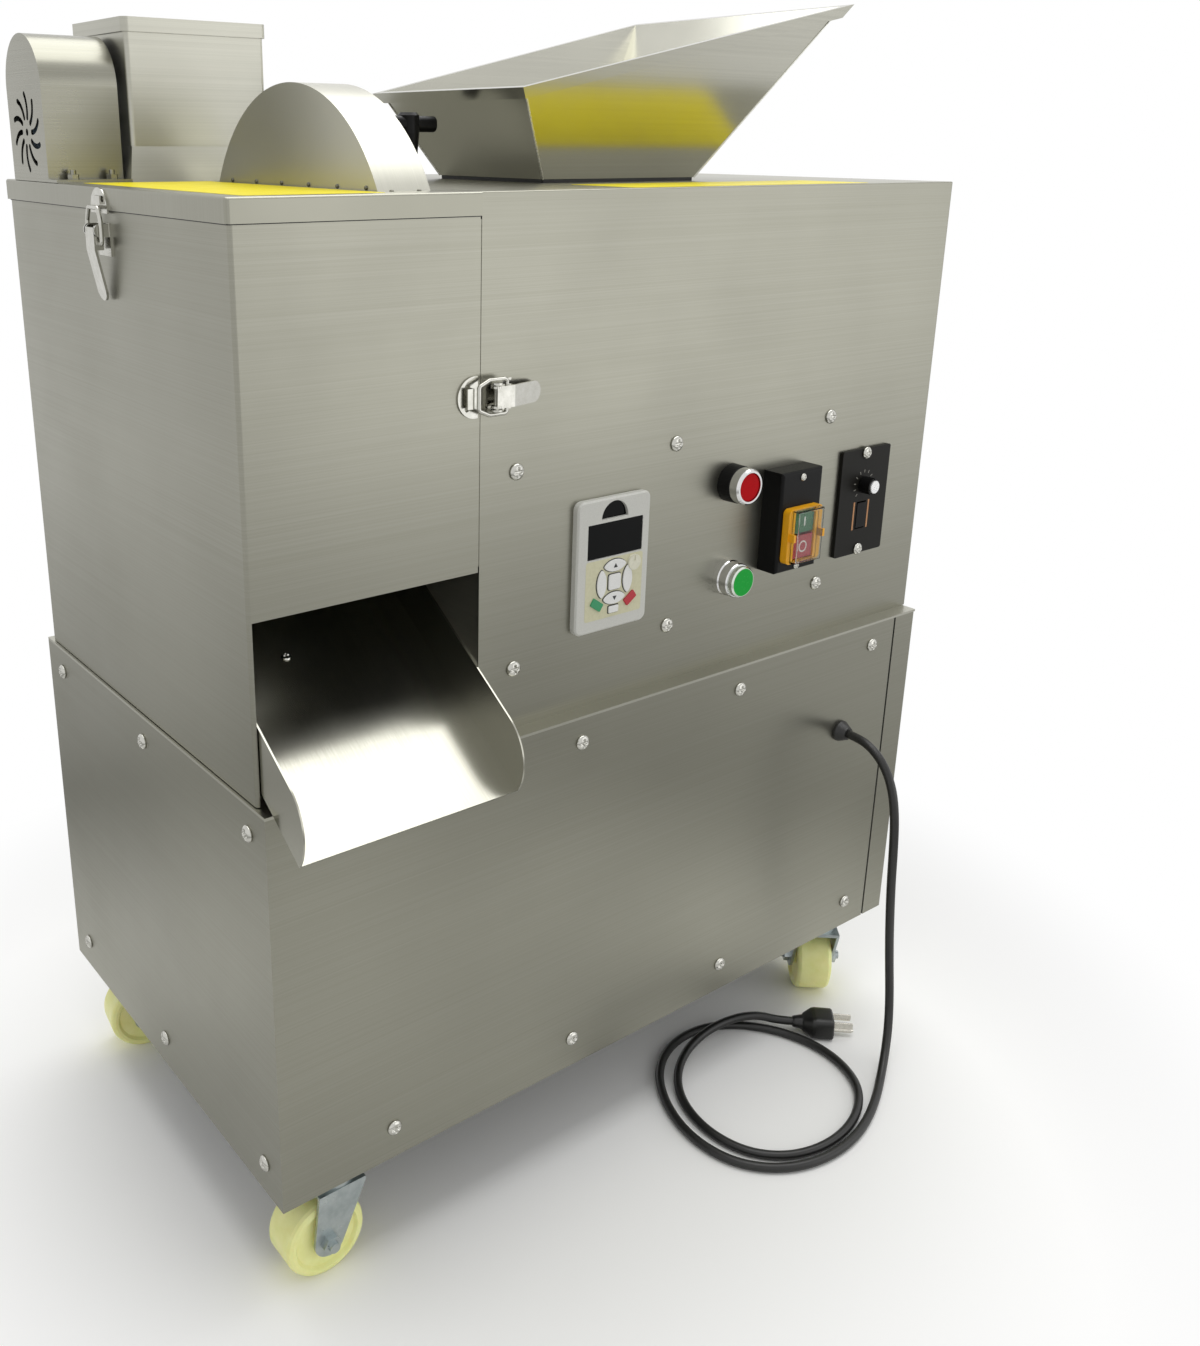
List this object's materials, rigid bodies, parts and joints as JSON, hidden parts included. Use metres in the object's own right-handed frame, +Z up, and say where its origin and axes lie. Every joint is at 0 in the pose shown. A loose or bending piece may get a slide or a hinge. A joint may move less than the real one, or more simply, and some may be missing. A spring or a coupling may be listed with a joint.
{
  "type": "dough divider",
  "caption": "Floor-standing dough divider on casters: hopper feeds an auger, a guarded rotating knife cuts pieces that slide out of a chute; flour duster on the lid.",
  "frame": {"origin": "on the floor under the middle of the machine without its cord", "axes": "+X to the hopper end, -Y to the front with the controls, +Z up"},
  "size_m": [0.6571, 0.5087, 0.8836],
  "materials": {
    "stainless": "satin",
    "frame_paint": "matte",
    "zinc": "satin",
    "motor_paint": "satin",
    "motor_alloy": "satin",
    "grey_plastic": "matte",
    "cream_plastic": "matte",
    "bezel_chrome": "polished",
    "red_plastic": "gloss",
    "green_plastic": "gloss",
    "black_plastic": "satin",
    "yellow_plastic": "gloss",
    "clear_plastic": "clear",
    "cord_rubber": "satin",
    "nylon": "satin"
  },
  "bodies": {
    "machine": {"base_frame": "frame_paint", "inner_frame": "stainless", "lower_front_panel": "stainless", "lower_left_panel": "stainless", "lower_right_panel": "stainless", "lower_back_panel": "stainless", "panel_screws": "zinc", "main_shell": "stainless", "top_deck": "stainless", "chute": "stainless", "shell_hinges": "stainless", "hopper": "stainless", "barrel": "stainless", "nozzle": "stainless", "gear_motor": "motor_paint", "knife_motor": "motor_alloy", "front_latch_base": "stainless", "keypad": "grey_plastic", "button_bezels": "bezel_chrome", "switch_housing": "black_plastic", "switch_frame": "yellow_plastic", "switch_cover": "clear_plastic", "speed_plate": "black_plastic", "cord_gland": "black_plastic", "power_cord": "cord_rubber", "plug": "cord_rubber", "caster_plates": "zinc"},
    "hood": {"hood_shell": "stainless", "front_latch_keeper": "stainless", "left_latch_base": "stainless"},
    "lid": {"lid": "stainless", "knife_guard": "stainless", "flour_box": "stainless", "flour_motor_cover": "stainless", "flour_motor": "motor_paint", "left_latch_keeper": "stainless"},
    "t_knob": {"t_knob": "black_plastic"},
    "auger": {"auger": "stainless"},
    "knife": {"knife": "stainless"},
    "flour_agitator": {"flour_agitator": "stainless"},
    "flour_box_lid": {"flour_box_lid": "stainless"},
    "left_latch_lever": {"left_latch_lever": "stainless"},
    "left_latch_bail": {"left_latch_bail": "stainless"},
    "front_latch_lever": {"front_latch_lever": "stainless"},
    "front_latch_bail": {"front_latch_bail": "stainless"},
    "red_button": {"red_button": "red_plastic"},
    "green_button": {"green_button": "green_plastic"},
    "switch_on": {"switch_on": "green_plastic"},
    "switch_off": {"switch_off": "red_plastic"},
    "speed_knob": {"speed_knob": "black_plastic"},
    "speed_rocker": {"speed_rocker": "black_plastic"},
    "keypad_dial": {"keypad_dial": "cream_plastic"},
    "front_left_fork": {"front_left_fork": "zinc"},
    "front_right_fork": {"front_right_fork": "zinc"},
    "back_left_fork": {"back_left_fork": "zinc"},
    "back_right_fork": {"back_right_fork": "zinc"},
    "front_left_wheel": {"front_left_wheel": "nylon"},
    "front_right_wheel": {"front_right_wheel": "nylon"},
    "back_left_wheel": {"back_left_wheel": "nylon"},
    "back_right_wheel": {"back_right_wheel": "nylon"}
  },
  "joints": [
    {"name": "hood_swing", "type": "hinge", "parent": "machine", "child": "hood", "pos_m": [-0.1515, 0.20374, 0.571], "axis": [0, 0, -1], "range_deg": [0, 100]},
    {"name": "lid_tip", "type": "hinge", "parent": "hood", "child": "lid", "pos_m": [-0.242, 0.20374, 0.7478], "axis": [-1, 0, 0], "range_deg": [0, 80]},
    {"name": "flour_lid_lift", "type": "slide", "parent": "lid", "child": "flour_box_lid", "axis": [0, 0, 1], "range_m": [0, 0.05]},
    {"name": "agitator_spin", "type": "hinge", "parent": "lid", "child": "flour_agitator", "pos_m": [-0.21, 0.14474, 0.795], "axis": [1, 0, 0], "continuous": true},
    {"name": "auger_spin", "type": "hinge", "parent": "machine", "child": "auger", "pos_m": [-0.002, 0.01924, 0.62], "axis": [1, 0, 0], "continuous": true},
    {"name": "knife_spin", "type": "hinge", "parent": "machine", "child": "knife", "pos_m": [-0.172, -0.02676, 0.699], "axis": [1, 0, 0], "continuous": true},
    {"name": "left_lever_swing", "type": "hinge", "parent": "hood", "child": "left_latch_lever", "pos_m": [-0.3271, 0.01824, 0.726], "axis": [0, 1, 0], "range_deg": [0, 110]},
    {"name": "left_bail_swing", "type": "hinge", "parent": "left_latch_lever", "child": "left_latch_bail", "pos_m": [-0.3271, 0.01824, 0.718], "axis": [0, 1, 0], "range_deg": [-127, 0]},
    {"name": "front_lever_swing", "type": "hinge", "parent": "machine", "child": "front_latch_lever", "pos_m": [-0.1435, -0.16236, 0.628], "axis": [0, 0, -1], "range_deg": [0, 110]},
    {"name": "front_bail_swing", "type": "hinge", "parent": "front_latch_lever", "child": "front_latch_bail", "pos_m": [-0.1355, -0.16236, 0.628], "axis": [0, 0, -1], "range_deg": [-127, 0]},
    {"name": "red_press", "type": "slide", "parent": "machine", "child": "red_button", "axis": [0, 1, 0], "range_m": [0, 0.004], "stiffness_N_per_m": 800},
    {"name": "green_press", "type": "slide", "parent": "machine", "child": "green_button", "axis": [0, 1, 0], "range_m": [0, 0.004], "stiffness_N_per_m": 800},
    {"name": "switch_on_press", "type": "slide", "parent": "machine", "child": "switch_on", "axis": [0, 1, 0], "range_m": [0, 0.003], "stiffness_N_per_m": 900},
    {"name": "switch_off_press", "type": "slide", "parent": "machine", "child": "switch_off", "axis": [0, 1, 0], "range_m": [0, 0.003], "stiffness_N_per_m": 900},
    {"name": "speed_knob_turn", "type": "hinge", "parent": "machine", "child": "speed_knob", "pos_m": [0.2442, -0.15536, 0.5129], "axis": [0, -1, 0], "range_deg": [-135, 135]},
    {"name": "speed_rocker_tilt", "type": "hinge", "parent": "machine", "child": "speed_rocker", "pos_m": [0.2439, -0.15536, 0.4869], "axis": [1, 0, 0], "range_deg": [-7, 7]},
    {"name": "keypad_dial_turn", "type": "hinge", "parent": "machine", "child": "keypad_dial", "pos_m": [-0.0169, -0.16036, 0.4952], "axis": [0, -1, 0], "range_deg": [-140, 140]},
    {"name": "t_knob_turn", "type": "hinge", "parent": "machine", "child": "t_knob", "pos_m": [-0.087, 0.01924, 0.78], "axis": [0, 0, 1], "range_deg": [0, 360]},
    {"name": "front_left_swivel", "type": "hinge", "parent": "machine", "child": "front_left_fork", "pos_m": [-0.268, -0.13676, 0.075], "axis": [0, 0, 1], "continuous": true},
    {"name": "front_left_roll", "type": "hinge", "parent": "front_left_fork", "child": "front_left_wheel", "pos_m": [-0.28, -0.13676, 0.0315], "axis": [0, -1, 0], "continuous": true},
    {"name": "front_right_swivel", "type": "hinge", "parent": "machine", "child": "front_right_fork", "pos_m": [0.268, -0.13676, 0.075], "axis": [0, 0, 1], "continuous": true},
    {"name": "front_right_roll", "type": "hinge", "parent": "front_right_fork", "child": "front_right_wheel", "pos_m": [0.27571, -0.12757, 0.0315], "axis": [-0.766, 0.6428, 0], "continuous": true},
    {"name": "back_left_swivel", "type": "hinge", "parent": "machine", "child": "back_left_fork", "pos_m": [-0.268, 0.17524, 0.075], "axis": [0, 0, 1], "continuous": true},
    {"name": "back_left_roll", "type": "hinge", "parent": "back_left_fork", "child": "back_left_wheel", "pos_m": [-0.27988, 0.17691, 0.0315], "axis": [-0.1392, -0.9903, 0], "continuous": true},
    {"name": "back_right_swivel", "type": "hinge", "parent": "machine", "child": "back_right_fork", "pos_m": [0.268, 0.17524, 0.075], "axis": [0, 0, 1], "continuous": true},
    {"name": "back_right_roll", "type": "hinge", "parent": "back_right_fork", "child": "back_right_wheel", "pos_m": [0.27928, 0.17934, 0.0315], "axis": [-0.342, 0.9397, 0], "continuous": true}
  ],
  "couplings": [
    {"joint": "left_bail_swing", "follows": "left_lever_swing", "ratio": -1.15},
    {"joint": "front_bail_swing", "follows": "front_lever_swing", "ratio": -1.15}
  ]
}
